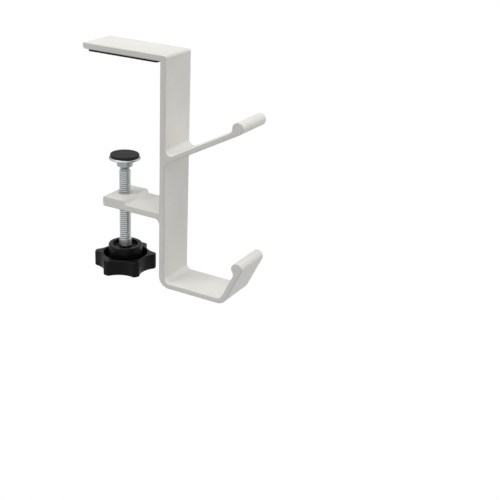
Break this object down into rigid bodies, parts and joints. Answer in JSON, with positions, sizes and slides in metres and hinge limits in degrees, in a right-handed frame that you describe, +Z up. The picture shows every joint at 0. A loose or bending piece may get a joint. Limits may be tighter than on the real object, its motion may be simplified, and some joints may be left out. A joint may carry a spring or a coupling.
{
  "type": "desk bag hook",
  "caption": "Desk-edge hook: a clamp-on extruded hanger with a lower hook for a bag, an upper arm for a headset and a knob-turned clamp screw.",
  "frame": {"origin": "on the underside of the top pad, where the hook rests on the desk, on the clamp screw's axis", "axes": "+Z up along the spine; +X out from the desk, towards the hooks; Y along the desk's edge"},
  "size_m": [0.1249, 0.0436, 0.16],
  "materials": {
    "powder_coat": "satin",
    "black_rubber": "matte",
    "zinc_plate": "satin",
    "black_plastic": "satin"
  },
  "bodies": {
    "hanger": {"hanger_frame": "powder_coat", "top_pad": "black_rubber"},
    "thrust": {"ball_pin": "zinc_plate"},
    "screw": {"clamp_screw": "zinc_plate", "knob_insert": "zinc_plate", "knob_body": "black_plastic", "knob_cap": "black_plastic"},
    "foot": {"swivel_foot": "zinc_plate", "foot_pad": "black_rubber"}
  },
  "joints": [
    {"name": "clamp_travel", "type": "slide", "parent": "hanger", "child": "thrust", "axis": [0, 0, 1], "range_m": [-0.0175, 0.02625]},
    {"name": "screw_turn", "type": "hinge", "parent": "thrust", "child": "screw", "pos_m": [0, 0, -0.1], "axis": [0, 0, 1], "range_deg": [-4201, 6301]},
    {"name": "foot_tilt", "type": "hinge", "parent": "thrust", "child": "foot", "pos_m": [0, 0, -0.0765], "axis": [0, 1, 0], "range_deg": [-8, 8]}
  ],
  "couplings": [
    {"joint": "screw_turn", "follows": "clamp_travel", "rad_per_m": 4188.8}
  ]
}
